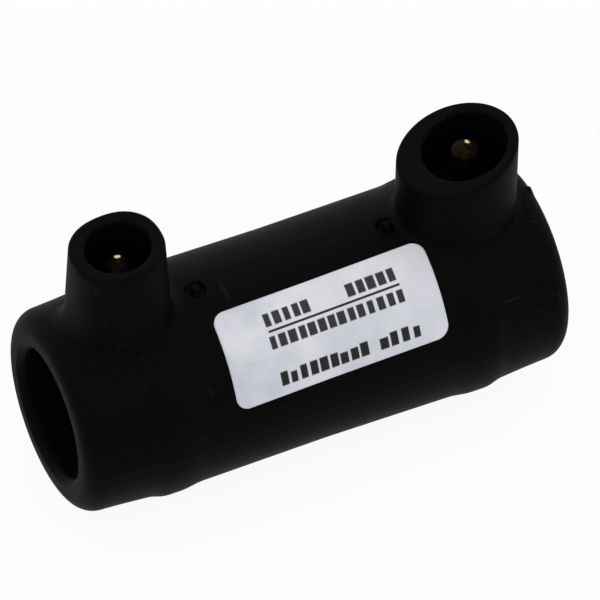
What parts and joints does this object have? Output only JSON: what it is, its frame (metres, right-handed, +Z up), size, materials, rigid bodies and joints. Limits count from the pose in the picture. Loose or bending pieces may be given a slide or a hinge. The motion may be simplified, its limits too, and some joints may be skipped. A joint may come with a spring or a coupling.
{
  "type": "electrofusion coupler",
  "caption": "Short black pipe sleeve with a collar near each end, raised shrouds round upright brass terminal pins, and a pale label wrapped on its front.",
  "frame": {"origin": "middle of the bore, halfway between the two end faces, on the bore's axis", "axes": "+X along the bore, from the taller, narrower shroud to the lower, wider one; +Z up along the terminal pins; the label faces -Y and up"},
  "size_m": [0.0794, 0.0338, 0.0493],
  "materials": {
    "black_polyethylene": "moulded, fine satin",
    "copper_wire": "bare drawn copper alloy",
    "label_film": "printed film, satin",
    "pin_brass": "turned, slightly tarnished"
  },
  "bodies": {
    "root": {"body": "black_polyethylene", "heating_wire": "copper_wire", "label": "label_film", "terminal_pin_left": "pin_brass", "terminal_pin_right": "pin_brass"}
  },
  "joints": []
}
